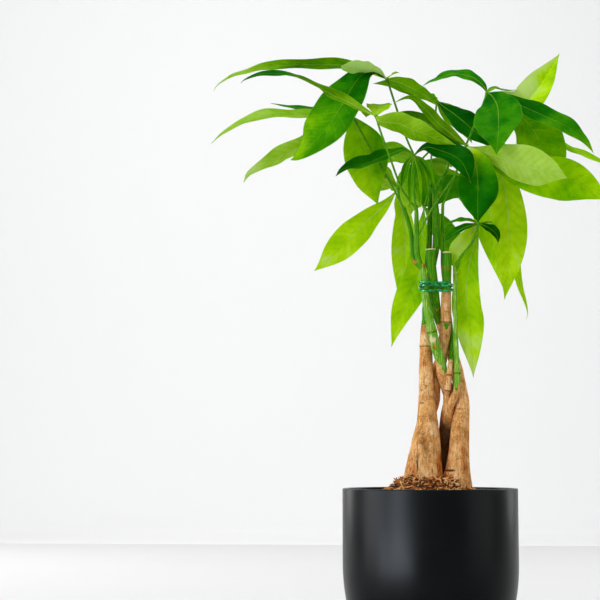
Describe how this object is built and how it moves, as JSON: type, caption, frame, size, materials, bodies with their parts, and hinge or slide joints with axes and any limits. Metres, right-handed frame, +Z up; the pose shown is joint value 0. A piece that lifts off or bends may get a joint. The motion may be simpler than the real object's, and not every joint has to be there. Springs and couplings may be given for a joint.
{
  "type": "potted money tree",
  "caption": "House plant with braided slim trunks, palmate leaves on long stalks and a green tie, standing in soil and bark mulch in a plain round-bottomed black pot.",
  "frame": {"origin": "middle of the pot's flat underside, on the pot's axis", "axes": "+Z up along the pot's axis, -Y towards the viewer of the front, +X to the viewer's right"},
  "size_m": [0.4347, 0.2318, 0.606],
  "materials": {
    "pot": "matte",
    "soil": "matte",
    "mulch": "matte",
    "bark": "matte",
    "foliage": "satin",
    "tie": "gloss"
  },
  "bodies": {
    "root": {"pot": "pot", "soil": "soil", "mulch": "mulch", "trunk_1": "bark", "trunk_2": "bark", "trunk_3": "bark", "trunk_4": "bark", "trunk_5": "bark", "leafy_stem_1": "foliage", "leafy_stem_2": "foliage", "leafy_stem_3": "foliage", "leafy_stem_3_arm": "foliage", "leafy_stem_4": "foliage", "cut_stem_5": "foliage", "tie": "tie"}
  },
  "joints": []
}
